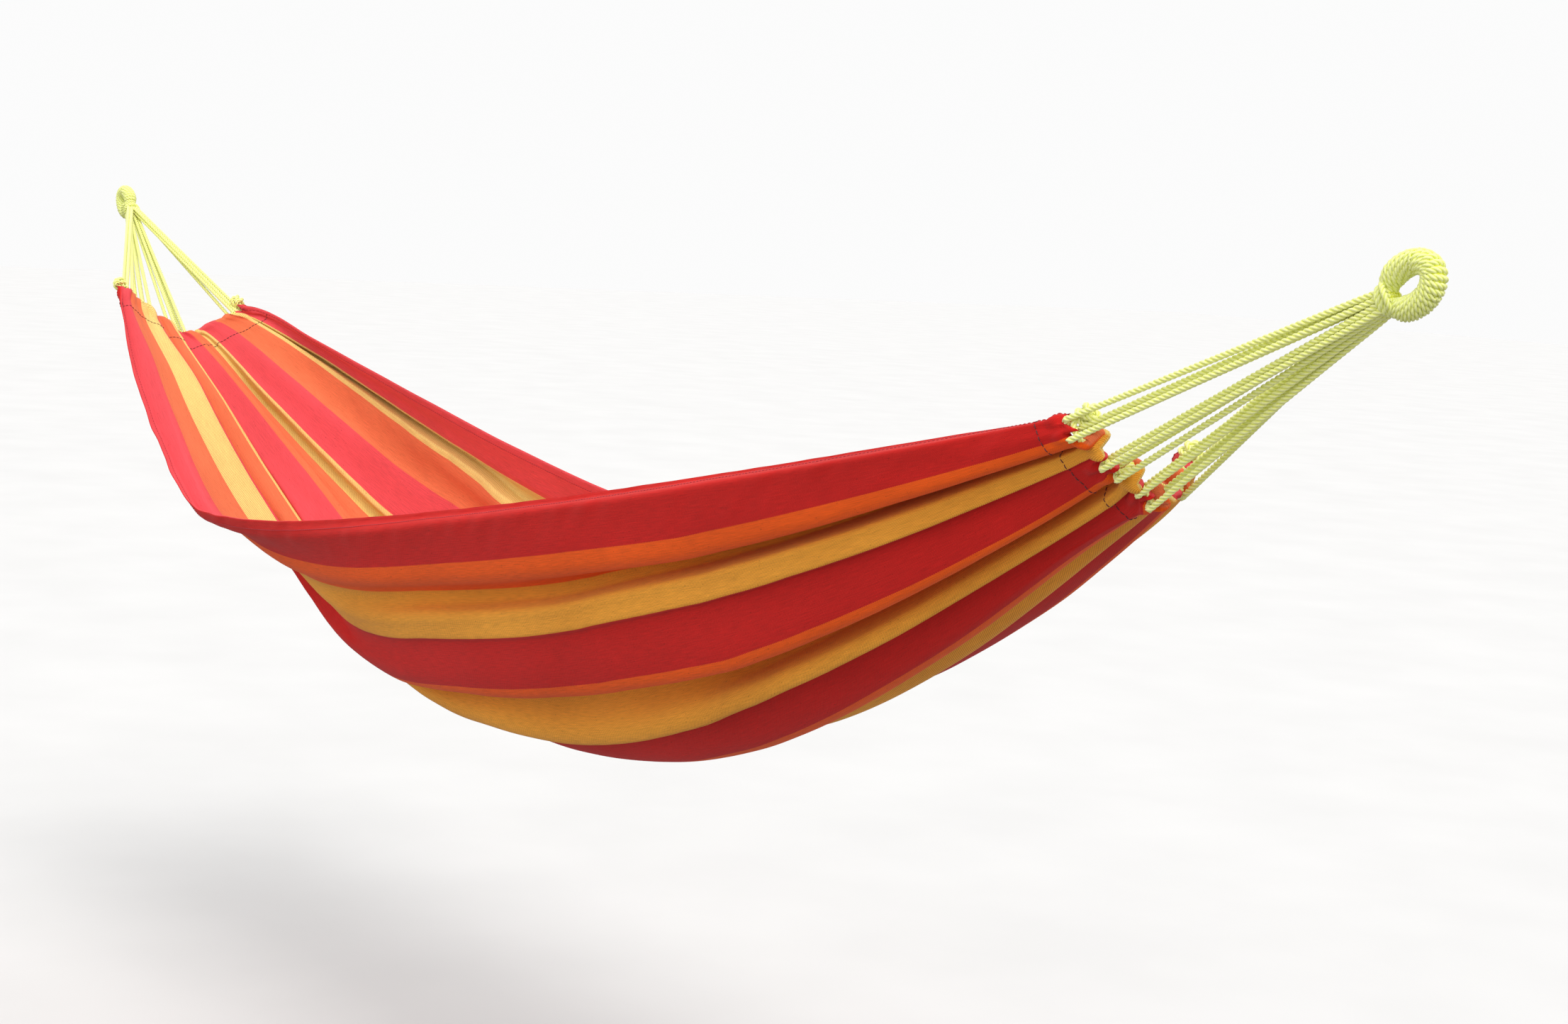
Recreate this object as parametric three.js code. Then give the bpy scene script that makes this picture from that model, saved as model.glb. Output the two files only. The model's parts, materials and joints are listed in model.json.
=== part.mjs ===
// A gathered-end hammock: a striped cotton bed hung by cords from two corded eyes.
// Millimetres, +Z up, +X from the left eye to the right eye, -Y the side where the bed's rim hangs lower.
// The origin is the left eye's seat: the inside of its hole, opposite the throat, where a hook bears.
import * as THREE from 'three';

// ---- hanging size ----
const EYE_SPAN = 2400; // centre of one eye's hole to the centre of the other, as hung
const THROAT_TILT = THREE.MathUtils.degToRad(30); // how far below level the cords leave each eye
const CORD_RADIUS = 2.5;
const GAP = 0.4; // clear space kept between neighbouring pieces

// ---- eye: a bight of the cord bundle, bent round and served with thinner line ----
const EYE_RADIUS = 16.2; // centreline of the bent bundle
const CORE_RADIUS = 4.8;
const SERVING_THICKNESS = 3.6;
const SERVING_RADIUS = CORE_RADIUS + GAP + SERVING_THICKNESS;
const SERVING_OPENING = THREE.MathUtils.degToRad(36); // half angle left open at the throat
const SERVING_STEPS = 21; // odd, so one flat of the hole faces the throat squarely
const SERVING_SIDES = 12;
const CORE_SIDES = 10;
const CORE_LEG_END = 18.5; // the bent bundle's two ends, measured from the eye's centre

// ---- throat: a short seizing that ties the cords below the eye ----
const SEIZING_START = 23;
const SEIZING_LENGTH = 7;
const SEIZING_INNER_RADIUS = 10.2;
const SEIZING_THICKNESS = 2.4;
const SEIZING_SIDES = 16;
const CORD_START = 25; // the cord tops, inside the seizing

// ---- cords: eight loops at each end, each a hairpin round the header rope ----
const CORD_SIDES = 6;
const CORD_TOP_RADIUS = 1.7; // squeezed inside the seizing, and full size again at the header rope
const CORD_TOP_SPACING = 3.8;
const BIGHT_RADIUS = CORD_RADIUS * 2 + GAP; // loop centreline round the header rope
const BIGHT_STEPS = 6;
// Where the loops hold the header rope, as shares of the hem from the near corner to the far corner.
const LOOP_PLACES = {
  left: [0.03, 0.08, 0.19, 0.25, 0.5, 0.57, 0.9, 0.95],
  right: [0.02, 0.08, 0.25, 0.32, 0.45, 0.52, 0.76, 0.85],
};

// ---- header ropes ----
const HEADER_SIDES = 8;
const HEADER_STEPS = 24;
const HEADER_SETBACK = BIGHT_RADIUS + CORD_RADIUS + 2; // beyond the cloth's end, clear of the bights
const KNOT_RADIUS = 7;
const KNOT_LENGTH = 16;
const KNOT_SHAPE = [
  { along: 0.25, size: 0.8 },
  { along: 0.55, size: 1 },
  { along: 0.85, size: 0.8 },
];

// ---- bed ----
const CLOTH_THICKNESS = 2.4;
const BED_HALF_LENGTH = 940; // hem to hem, straight across, is twice this
const LENGTH_STEPS = 34;
const WIDTH_STEPS = 26;
// Hem corners, from the line between the eyes' centres.
const NEAR_CORNER = { half: { left: 94, right: 64 }, height: { left: -114, right: -112 } };
const FAR_CORNER = { half: { left: 84, right: 56 }, height: { left: -134, right: -140 } };
const HEM_KEEL = { left: -178, right: -174 }; // height of the bottom of the gathered hem
const HEM_REACH = { left: 20, right: 34 }; // how far the hem's bottom reaches past its corners to the eye
const HEM_FADE = 8; // how soon that reach fades away from the hem
const KEEL = { height: -570, shift: 83, peak: -0.16, fullness: 1.08 }; // lowest line of the bed
const NEAR_RIM = { half: 116, height: -369, peak: -0.6, sharpness: 1.2 };
const FAR_RIM = { half: 240, height: -320, peak: 0.21, sharpness: 1.55 };
const RIM_SPREAD = 0.5; // how quickly the rims part from the hem, 1 is a parabola
const RIM_FALL = 0.97;
const PEAK_ROUNDING = 0.1; // of the distance from the peak to a hem
const SECTION_POWER = 0.91; // roundness of the cross-section
const HEM_POWER = 0.5; // the gathered hem's sides are straighter
const HEM_POWER_FADE = 4;

const finish = {
  cord: { color: 0xcdd46e, roughness: 0.9 },
  serving: { color: 0xd6db8a, roughness: 0.85 },
  cloth: { color: 0xb3202c, roughness: 0.8 },
};

const mix = THREE.MathUtils.lerp;

// Height of a hump over s = -1..1 that is 1 at its peak and 0 at both ends.
function hump(s, peak, sharpness, power) {
  const reach = s < peak ? 1 + peak : 1 - peak;
  const rounded = (x) => Math.hypot(x, PEAK_ROUNDING) - PEAK_ROUNDING;
  const away = rounded((s - peak) / reach) / rounded(1);
  return Math.max(0, 1 - away ** sharpness) ** power;
}

// The bed's middle surface: s runs hem to hem, t from the near rim to the far rim.
function bedPoint(s, t) {
  const between = ({ left, right }) => mix(left, right, (s + 1) / 2);
  const corner = t < 0 ? NEAR_CORNER : FAR_CORNER;
  const rim = t < 0 ? NEAR_RIM : FAR_RIM;
  const spread = hump(s, rim.peak, rim.sharpness, RIM_SPREAD);
  const fall = hump(s, rim.peak, rim.sharpness, RIM_FALL);
  const sag = hump(s, KEEL.peak, 2, KEEL.fullness);
  const half = mix(between(corner.half), rim.half, spread);
  const rimHeight = mix(between(corner.height), rim.height, fall);
  const keelHeight = mix(between(HEM_KEEL), KEEL.height, sag);
  const angle = (t * Math.PI) / 2;
  const power = mix(SECTION_POWER, HEM_POWER, Math.abs(s) ** HEM_POWER_FADE);
  const climb = Math.max(0, 1 - Math.cos(angle)) ** power;
  const reach = Math.sign(s) * between(HEM_REACH) * Math.abs(s) ** HEM_FADE;
  return new THREE.Vector3(
    BED_HALF_LENGTH * s + reach * (1 - climb),
    half * Math.sin(angle) + KEEL.shift * sag * (1 - climb),
    mix(keelHeight, rimHeight, climb),
  );
}

// One cross-section of the bed as a curve, so it can be divided by length of cloth.
class BedSection extends THREE.Curve {
  constructor(s) {
    super();
    this.s = s;
  }

  getPoint(fraction) {
    return bedPoint(this.s, 2 * fraction - 1);
  }
}

// Tangent and two side directions at each point of a path, turned as little as possible.
function framesAlong(points) {
  const frames = [];
  points.forEach((point, i) => {
    const before = points[Math.max(i - 1, 0)];
    const after = points[Math.min(i + 1, points.length - 1)];
    const tangent = after.clone().sub(before).normalize();
    const guide = i ? frames[i - 1].side : new THREE.Vector3(0, 1, 0);
    const side = guide.clone().addScaledVector(tangent, -guide.dot(tangent)).normalize();
    const up = side.clone().cross(tangent).normalize();
    frames.push({ side, up });
  });
  return frames;
}

// A closed round bar through the points, with its own radius at each.
function barThrough(points, radii, sides) {
  const rows = points.length - 1;
  const bar = new THREE.CylinderGeometry(1, 1, rows, sides, rows);
  const frames = framesAlong(points);
  const position = bar.getAttribute('position');
  for (let v = 0; v < position.count; v += 1) {
    const row = Math.round(position.getY(v) + rows / 2);
    const place = points[row]
      .clone()
      .addScaledVector(frames[row].side, position.getX(v) * radii[row])
      .addScaledVector(frames[row].up, position.getZ(v) * radii[row]);
    position.setXYZ(v, place.x, place.y, place.z);
  }
  bar.computeVertexNormals();
  return bar;
}

function madeOf(name, geometry, look) {
  const material = new THREE.MeshStandardMaterial({ ...look, metalness: 0 });
  const mesh = new THREE.Mesh(geometry, material);
  mesh.name = name;
  return mesh;
}

// ---- eye ----

// Part of a circle in the XZ plane about the eye's centre, open towards +X where the throat is.
class EyeArc extends THREE.Curve {
  getPoint(fraction) {
    const angle = mix(SERVING_OPENING, 2 * Math.PI - SERVING_OPENING, fraction);
    return new THREE.Vector3(EYE_RADIUS * Math.cos(angle), 0, EYE_RADIUS * Math.sin(angle));
  }
}

// Regular polygon with a flat across the top and the bottom.
function flatPolygon(path, flatRadius, sides) {
  const corner = flatRadius / Math.cos(Math.PI / sides);
  for (let i = 0; i < sides; i += 1) {
    const angle = ((i + 0.5) * 2 * Math.PI) / sides;
    const point = [corner * Math.cos(angle), corner * Math.sin(angle)];
    if (i) path.lineTo(...point);
    else path.moveTo(...point);
  }
  path.closePath();
  return path;
}

function eyeServing(name) {
  const ring = flatPolygon(new THREE.Shape(), SERVING_RADIUS, SERVING_SIDES);
  ring.holes.push(flatPolygon(new THREE.Path(), CORE_RADIUS + GAP, SERVING_SIDES));
  const options = { steps: SERVING_STEPS, bevelEnabled: false, extrudePath: new EyeArc() };
  return madeOf(name, new THREE.ExtrudeGeometry(ring, options), finish.serving);
}

function eyeCore(name) {
  const arc = new EyeArc().getSpacedPoints(SERVING_STEPS);
  const legOffset = CORE_RADIUS + GAP;
  const first = new THREE.Vector3(CORE_LEG_END, 0, legOffset);
  const last = new THREE.Vector3(CORE_LEG_END, 0, -legOffset);
  const points = [first, ...arc, last];
  const radii = points.map(() => CORE_RADIUS);
  return madeOf(name, barThrough(points, radii, CORE_SIDES), finish.cord);
}

function throatSeizing(name) {
  const inner = SEIZING_INNER_RADIUS;
  const outer = inner + SEIZING_THICKNESS;
  const crown = outer + SEIZING_THICKNESS / 3;
  const profile = [
    [inner, 0],
    [outer, 0],
    [crown, SEIZING_LENGTH / 2],
    [outer, SEIZING_LENGTH],
    [inner, SEIZING_LENGTH],
    [inner, 0],
  ].map(([r, y]) => new THREE.Vector2(r, y));
  const band = new THREE.LatheGeometry(profile, SEIZING_SIDES);
  band.rotateZ(-Math.PI / 2);
  band.translate(SEIZING_START, 0, 0);
  return madeOf(name, band, finish.serving);
}

function eyeGroup(end) {
  const eye = new THREE.Group();
  eye.add(eyeCore(`${end.name}_eye_core`));
  eye.add(eyeServing(`${end.name}_eye_serving`));
  eye.add(throatSeizing(`${end.name}_throat_seizing`));
  eye.position.x = (end.side * EYE_SPAN) / 2;
  eye.rotation.y = end.side < 0 ? THROAT_TILT : Math.PI - THROAT_TILT;
  return eye;
}

// ---- header ropes and cord loops ----

// Centreline of the header rope, from the near corner to the far corner.
function headerPoint(end, fraction) {
  const section = new BedSection(end.side);
  const point = section.getPointAt(THREE.MathUtils.clamp(fraction, 0, 1));
  point.x += end.side * HEADER_SETBACK;
  return point;
}

// The stopper knot beyond one corner, from the corner outwards.
function knotFrom(corner, next) {
  const tail = corner.clone().sub(next).setLength(KNOT_LENGTH);
  const knot = KNOT_SHAPE.map(({ along, size }) => ({
    point: corner.clone().addScaledVector(tail, along),
    radius: KNOT_RADIUS * size,
  }));
  return [...knot, { point: corner.clone().add(tail), radius: CORD_RADIUS }];
}

function headerRope(end) {
  const rope = [];
  for (let i = 0; i <= HEADER_STEPS; i += 1) {
    rope.push({ point: headerPoint(end, i / HEADER_STEPS), radius: CORD_RADIUS });
  }
  const near = knotFrom(rope[0].point, rope[1].point);
  const far = knotFrom(rope[HEADER_STEPS].point, rope[HEADER_STEPS - 1].point);
  const all = [...near.reverse(), ...rope, ...far];
  const bar = barThrough(all.map((r) => r.point), all.map((r) => r.radius), HEADER_SIDES);
  return madeOf(`${end.name}_header_rope`, bar, finish.cord);
}

// A point of the bundle under the eye: how far down it, and where across it.
function throatPoint(end, along, across, up) {
  const inward = -end.side;
  return new THREE.Vector3(
    (end.side * EYE_SPAN) / 2 + inward * (along * Math.cos(THROAT_TILT) + up * Math.sin(THROAT_TILT)),
    across,
    -along * Math.sin(THROAT_TILT) + up * Math.cos(THROAT_TILT),
  );
}

// For each loop, the column and row of its outer and inner leg in the four by four bundle.
const LEG_CELLS = [
  [[0, 3], [1, 3]],
  [[0, 2], [1, 2]],
  [[0, 0], [0, 1]],
  [[1, 0], [1, 1]],
  [[2, 0], [2, 1]],
  [[3, 0], [3, 1]],
  [[3, 2], [2, 2]],
  [[3, 3], [2, 3]],
];

function legPoints(end, cell, foot) {
  const across = (cell[0] - 1.5) * CORD_TOP_SPACING;
  const up = (cell[1] - 1.5) * CORD_TOP_SPACING;
  const top = throatPoint(end, CORD_START, across, up);
  const neck = throatPoint(end, SEIZING_START + SEIZING_LENGTH + 1, across, up);
  return [top, neck, neck.clone().lerp(foot, 0.5), foot];
}

function cordLoop(end, index) {
  const fraction = LOOP_PLACES[end.name][index];
  const centre = headerPoint(end, fraction);
  const nearby = 0.02;
  const along = headerPoint(end, fraction + nearby).sub(headerPoint(end, fraction - nearby)).normalize();
  const throat = throatPoint(end, SEIZING_START + SEIZING_LENGTH, 0, 0);
  const pull = throat.sub(centre);
  pull.addScaledVector(along, -pull.dot(along)).normalize();
  const outward = along.clone().cross(pull).multiplyScalar(end.side);
  const bight = [];
  for (let i = 0; i <= BIGHT_STEPS; i += 1) {
    const angle = (i * Math.PI) / BIGHT_STEPS;
    bight.push(
      centre
        .clone()
        .addScaledVector(outward, -BIGHT_RADIUS * Math.cos(angle))
        .addScaledVector(pull, -BIGHT_RADIUS * Math.sin(angle)),
    );
  }
  const [outerCell, innerCell] = LEG_CELLS[index];
  const inner = legPoints(end, innerCell, bight[0]);
  const outer = legPoints(end, outerCell, bight[BIGHT_STEPS]).reverse();
  const points = [...inner, ...bight.slice(1, BIGHT_STEPS), ...outer];
  const legRadii = [CORD_TOP_RADIUS, CORD_TOP_RADIUS, mix(CORD_TOP_RADIUS, CORD_RADIUS, 0.5)];
  const radii = points.map((_, i) => legRadii[Math.min(i, points.length - 1 - i)] ?? CORD_RADIUS);
  const bar = barThrough(points, radii, CORD_SIDES);
  return madeOf(`${end.name}_cord_loop_${index + 1}`, bar, finish.cord);
}

// ---- bed ----

function bedCloth() {
  const sheet = new THREE.BoxGeometry(2, 1, CLOTH_THICKNESS, LENGTH_STEPS, WIDTH_STEPS, 1);
  const position = sheet.getAttribute('position');
  const step = 0.004;
  const sections = new Map();
  const sectionAt = (s) => {
    if (!sections.has(s)) sections.set(s, new BedSection(s));
    return sections.get(s);
  };
  for (let v = 0; v < position.count; v += 1) {
    const s = position.getX(v);
    const section = sectionAt(s);
    const t = section.getUtoTmapping(position.getY(v) + 0.5);
    const point = section.getPoint(t);
    const acrossFrom = section.getPoint(Math.max(0, t - step));
    const acrossTo = section.getPoint(Math.min(1, t + step));
    const inside = Math.min(Math.max(s, -1 + step), 1 - step);
    const alongFrom = bedPoint(inside - step, 2 * t - 1);
    const alongTo = bedPoint(inside + step, 2 * t - 1);
    const along = alongTo.sub(alongFrom);
    const normal = along.cross(acrossTo.sub(acrossFrom)).normalize();
    point.addScaledVector(normal, position.getZ(v));
    position.setXYZ(v, point.x, point.y, point.z);
  }
  sheet.computeVertexNormals();
  return madeOf('bed_cloth', sheet, finish.cloth);
}

const hammock = new THREE.Group();
hammock.add(bedCloth());
for (const end of [
  { name: 'left', side: -1 },
  { name: 'right', side: 1 },
]) {
  hammock.add(eyeGroup(end));
  hammock.add(headerRope(end));
  LOOP_PLACES[end.name].forEach((_, index) => hammock.add(cordLoop(end, index)));
}

// Shift the whole part so that the left eye's seat is the origin.
const stepAngle = (2 * Math.PI - 2 * SERVING_OPENING) / SERVING_STEPS;
const seatRadius = (EYE_RADIUS - SERVING_RADIUS) * Math.cos(stepAngle / 2);
hammock.position.set(
  EYE_SPAN / 2 + seatRadius * Math.cos(THROAT_TILT),
  0,
  -seatRadius * Math.sin(THROAT_TILT),
);

export default hammock;
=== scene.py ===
"""Looks for the gathered-end hammock: woven striped bed, twisted cords and served eyes.

Metres, in the part's frame. The bed's outline has the same driving sizes as the CAD part.
"""
import json
import math

import bpy
import numpy as np
from mathutils import Matrix, Vector


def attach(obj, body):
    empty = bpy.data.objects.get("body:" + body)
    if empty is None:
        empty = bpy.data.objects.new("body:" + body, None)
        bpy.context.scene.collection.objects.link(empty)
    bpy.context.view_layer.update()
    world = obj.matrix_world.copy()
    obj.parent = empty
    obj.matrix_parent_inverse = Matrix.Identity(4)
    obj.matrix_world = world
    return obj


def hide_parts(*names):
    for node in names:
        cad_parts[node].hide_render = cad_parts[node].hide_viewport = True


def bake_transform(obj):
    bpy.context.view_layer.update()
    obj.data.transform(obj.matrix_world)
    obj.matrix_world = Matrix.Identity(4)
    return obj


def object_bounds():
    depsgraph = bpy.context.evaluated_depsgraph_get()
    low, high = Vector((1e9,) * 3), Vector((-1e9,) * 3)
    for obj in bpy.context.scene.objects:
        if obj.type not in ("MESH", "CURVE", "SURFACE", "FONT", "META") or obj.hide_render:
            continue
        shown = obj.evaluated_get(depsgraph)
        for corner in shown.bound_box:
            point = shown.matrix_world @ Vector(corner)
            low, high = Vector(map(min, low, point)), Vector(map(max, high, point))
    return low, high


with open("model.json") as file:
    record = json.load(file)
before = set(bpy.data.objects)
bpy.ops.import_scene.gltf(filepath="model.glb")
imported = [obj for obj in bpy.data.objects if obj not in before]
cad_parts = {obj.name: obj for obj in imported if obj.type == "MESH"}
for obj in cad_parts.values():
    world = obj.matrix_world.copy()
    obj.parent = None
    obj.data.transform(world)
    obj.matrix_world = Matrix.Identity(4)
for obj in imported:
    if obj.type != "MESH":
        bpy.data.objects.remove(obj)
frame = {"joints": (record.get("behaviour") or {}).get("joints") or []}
cad_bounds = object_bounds()

MM = 0.001
TURN = 2 * math.pi
JOINTS = {joint["name"]: joint for joint in frame["joints"]}


def joint_place(name):
    return np.array(JOINTS[name]["pos_m"])


# ---- places taken from the frame ----
THROAT_TILT = math.radians(30)
EYE_TO_THROAT = 26.5 * MM
LEFT_THROAT = joint_place("swing")
RIGHT_THROAT = joint_place("right_eye_swing")
LEFT_EYE = LEFT_THROAT + EYE_TO_THROAT * np.array([-math.cos(THROAT_TILT), 0, math.sin(THROAT_TILT)])
RIGHT_EYE = RIGHT_THROAT + EYE_TO_THROAT * np.array([math.cos(THROAT_TILT), 0, math.sin(THROAT_TILT)])
ENDS = {
    "left": {"side": -1, "throat": LEFT_THROAT, "eye": LEFT_EYE},
    "right": {"side": 1, "throat": RIGHT_THROAT, "eye": RIGHT_EYE},
}
MIDDLE = (LEFT_EYE + RIGHT_EYE) / 2
BED_HALF = 940 * MM
HEADER_SETBACK = 9.9 * MM

# ---- the bed's middle surface, as in the CAD: pairs are for the left and the right hem ----
NEAR_CORNER = {"half": (94 * MM, 64 * MM), "height": (-114 * MM, -112 * MM)}
FAR_CORNER = {"half": (84 * MM, 56 * MM), "height": (-134 * MM, -140 * MM)}
HEM_KEEL = (-178 * MM, -174 * MM)
HEM_REACH = (20 * MM, 34 * MM)
HEM_FADE = 8
KEEL = {"height": -570 * MM, "shift": 83 * MM, "peak": -0.16, "sharpness": 2, "fullness": 1.08}
NEAR_RIM = {"half": 116 * MM, "height": -369 * MM, "peak": -0.6, "sharpness": 1.2}
FAR_RIM = {"half": 240 * MM, "height": -320 * MM, "peak": 0.21, "sharpness": 1.55}
RIM_SPREAD = 0.5
RIM_FALL = 0.97
PEAK_ROUNDING = 0.1
SECTION_POWER = 0.91
HEM_POWER = 0.5
HEM_POWER_FADE = 4
SECTION_SAMPLES = 241

# ---- cloth ----
STRIPES = 13
CLOTH_WIDTH = 0.82
STRIPE_WIDTH = CLOTH_WIDTH / STRIPES
LENGTH_CELLS = 400
CELLS_PER_STRIPE = 22
ROW_CROWDING = 1.25  # rows stand closer together towards the hems
CLOTH_HALF_THICKNESS = 0.5 * MM
END_HEM = 40 * MM
EDGE_HEM = 15 * MM
HEM_STEP = 2 * MM
POCKET_HALF = 3.6 * MM
POCKET_REACH = 6 * MM
POCKET_TAPER = 20 * MM
SLIT_DEPTH = 14 * MM
SLIT_HALF_WIDTH = 0.024  # as a share of the header rope's length
SLIT_REACH = 3 * SLIT_DEPTH
LEAST_SLIT = 0.1 * MM
NORMAL_SOFTENING = 4

# ---- folds ----
FOLD_LIMIT_AT_HEM = 8 * MM
FOLD_LIMIT = 24 * MM
FOLD_GROWTH = 110 * MM
FOLD_CHANGE = (-0.9, 0.3)
LARGEST_FOLD = 120 * MM
FOLD_BISECTIONS = 30
GATHER_SPREAD = 1.45  # the most that a flat stretch is spread, against an even gather
STEEP_WIDTH = 0.03  # the share of its width that a cell keeps on the steepest side of a fold

# How far the cloth stands to the inside (+) or outside (-), by stripe, at each end.
LEFT_FOLDS = (
    (0, -0.4), (1, 0.7), (2, 0.8), (3, 1.2), (3.9, -0.2), (5, 0.6), (5.9, -0.5), (6.2, -0.1),
    (7.1, 0.2), (7.7, -0.6), (8.4, -1.3), (9, -0.5), (10, 0), (10.15, -0.1), (11.1, 0.2),
    (11.6, -0.8), (12, -0.1), (13, 0.7),
)
RIGHT_FOLDS = (
    (0, 1), (0.35, 0.1), (1.2, 0), (2.1, 1.9), (2.7, 0.3), (3, 0.1), (3.1, 0.3), (4.1, -0.1),
    (4.95, 1.8), (5.9, 0.1), (6.1, 0.6), (7.25, 0.1), (8, 1.6), (8.5, 0.5), (9, 0.1), (9.1, 0.5),
    (10.2, -0.1), (10.9, 1.4), (11.9, -0.1), (12.2, 0.4), (13, 0.4),
)

# ---- wrinkles: height, and how many steps of a random field lie along half the bed and across a stripe ----
PUCKERS = {"height": 1.3 * MM, "along": 3, "slant": 0, "across": 4, "seed": 5}
CREASES = {"height": 1.0 * MM, "along": 9, "slant": 0, "across": 2.1, "seed": 6}
BROAD_WAVES = {"height": 1.6 * MM, "along": 5, "slant": 0, "across": 0.9, "seed": 7}
FINE_WAVES = {"height": 0.5 * MM, "along": 14, "slant": 0, "across": 2.3, "seed": 8}
CRUMPLES = {"height": 1.6 * MM, "along": 26, "slant": 0.8, "across": 1.8, "seed": 9}
RIM_CREASES = {"height": 1.1 * MM, "along": 38, "slant": 2.2, "across": 2.6, "seed": 10}
PUCKER_FADE = 30 * MM
CREASE_FADE = 120 * MM
CRUMPLED_STRIPE = 10.9
CRUMPLED_WIDTH = 0.7
CRUMPLE_END = 0.2
CRUMPLE_FADE = 0.5
RIM_CREASE_WIDTH = 0.8
FIELD_SIZE = 64

# ---- hem stitches ----
STITCH_LENGTH = 3.6 * MM
STITCH_GAP = 1.3 * MM
STITCH_INSET = 3 * MM
STITCH_LIFTS = (-0.1 * MM, 0.35 * MM, 0.35 * MM, -0.1 * MM)
THREAD_RADIUS = 0.42 * MM
THREAD_CROWN = 0.8

# ---- cords ----
CORD_RADIUS = 2.5 * MM
LAY_LENGTH = 13 * MM
LAY_STEPS = 11
STRAND_OVERLAP = 1.06
LOOP_PLACES = {
    "left": (0.03, 0.08, 0.19, 0.25, 0.5, 0.57, 0.9, 0.95),
    "right": (0.02, 0.08, 0.25, 0.32, 0.45, 0.52, 0.76, 0.85),
}
LOOP_HALF_SHARE = 0.015
BIGHT_RADIUS = 5.4 * MM
# Cells of the 4 by 4 grid of cords at the throat: for each loop, the outer and the inner leg's.
LEG_CELLS = (
    ((0, 3), (1, 3)),
    ((0, 2), (1, 2)),
    ((0, 0), (0, 1)),
    ((1, 0), (1, 1)),
    ((2, 0), (2, 1)),
    ((3, 0), (3, 1)),
    ((3, 2), (2, 2)),
    ((3, 3), (2, 3)),
)
CORD_TOP_SPACING = 4.4 * MM
CORD_TOP_PINCH = 0.55
CORD_START = 18 * MM
CORD_NECK = CORD_START + 14 * MM
LEG_POINTS = (0.25, 0.5, 0.75)
BIGHT_POINTS = 9
CURVE_STEPS = 6
LOOP_PHASE = 1.3
HEADER_POINTS = 120

# ---- knots ----
KNOT_REACH = 8 * MM
KNOT_TAIL = 3 * MM
KNOT_RADIUS = 5.2 * MM
KNOT_SWELL = 1.8 * MM
KNOT_HALF_LENGTH = 5.6 * MM
KNOT_ROUNDS = 3
KNOT_WEAVES = 4
KNOT_POINTS = 170
KNOT_CORD_RADIUS = CORD_RADIUS * 0.95

# ---- eyes and throats ----
EYE_RADIUS = 16.2 * MM
EYE_STRETCH = 3.5 * MM
EYE_HALF_WIDTH = 14.0 * MM
EYE_GAP = 22  # degrees to either side of the throat
EYE_POINTS = 120
EYE_STEP = 0.25 * MM
SERVING_LINE_RADIUS = 2.4 * MM
LINE_LAY = 11 * MM
SERVING_PHASE = 0.4
SERVING_TURNS = 29
SERVED_RADIUS = 6.9 * MM
TAIL_RADIUS = 0.62  # as a share of the served radius
TAIL_SHARE = 0.13
CORE_EVERY = 12
CORE_SIDES = 16
CORE_CROWN = 0.5
SEIZING_TURNS = 2
SEIZING_POINTS = 80
SEIZING_HALF = (8.8 * MM, 9.6 * MM)
SEIZING_SPAN = (22 * MM, 27 * MM)
RIDER_HALF = (10.4 * MM, 11.2 * MM)
RIDER_PLACE = 24 * MM
RIDER_TILT = 6 * MM
RIDER_POINTS = 60
RIDER_LINE_RADIUS = SERVING_LINE_RADIUS * 0.9

# ---- colours and grain ----
# Stripe colours for the cloth's two faces. The outer face takes the cloth's own deep colours. The inner face
# takes a paler, whiter copy of them, with painted light and sheen for the bed's sunlit inside.
OUTER_COLOURS = ((0.62, 0.006, 0.009), (0.95, 0.11, 0.005), (0.97, 0.44, 0.045))
LIT_INNER_COLOURS = ((0.80, 0.078, 0.100), (0.82, 0.18, 0.075), (0.93, 0.73, 0.24))
WEFT_COLOUR = (0.46, 0.085, 0.012)
WEFT_SHARES = (0.22, 0.26, 0.68)
TWILL_PITCH = 2.8 * MM
THREAD_PITCH = TWILL_PITCH * 0.62
RIB_SHARE = 0.55
THREAD_SHARE = 0.45
TOOTH_HEIGHT = 0.032  # in stripes
TOOTH_SET = -0.008
SLUB_GRAIN = (45, 900)  # grains per metre, along and across
FLECK_GRAIN = (260, 420)
FADE_GRAIN = (3.5, 9)
# Crown and groove colours of each line. On the cords and the serving line, the deeper, more saturated groove
# colour is painted shade between the strands.
CORD_COLOURS = ((0.98, 1.0, 0.46), (0.93, 0.97, 0.05))
SERVING_COLOURS = ((0.93, 0.97, 0.42), (0.86, 0.92, 0.06))
DARK_THREAD_COLOURS = ((0.16, 0.02, 0.025), (0.06, 0.01, 0.01))
RED_THREAD_COLOURS = ((0.62, 0.03, 0.05), (0.3, 0.01, 0.02))
CORD_TINT = (0.92, 0.95, 0.72)
CORD_MOTTLE = 35
CORD_FIBRE = 1500
FLOOR_MOTTLE = 3

# ---- stage, lights and camera ----
FLOOR_DROP = 0.45
FLOOR_HALF = 30
SIDE_LIGHT = 0.74
TOP_LIGHT = 0.95
BACKDROP_LIGHT = 0.97
SUN_COLOUR = (1, 0.98, 0.95)
KEY_SUN = {"energy": 1.7, "angle": 35, "travel": (-0.60, 0.16, -0.78)}
FILL_SUN = {"energy": 0.92, "angle": 100, "travel": (-0.15, 0.95, 0.15)}
SENSOR_WIDTH = 36
FOCAL_LENGTH = 55.3345
CAMERA_YAW = 54.907
CAMERA_PITCH = -6.595
CAMERA_ROLL = 3.285
CAMERA_PLACE = (2.2515, -1.2252, 0.0088)  # from the middle between the eyes
CLIP_START = 0.05


# ---------------------------------------------------------------- small helpers


def mix(a, b, share):
    return a + (b - a) * share


def smooth(x):
    x = np.clip(x, 0, 1)
    return x * x * (3 - 2 * x)


def unit(v):
    return v / np.maximum(np.linalg.norm(v, axis=-1, keepdims=True), 1e-12)


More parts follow.
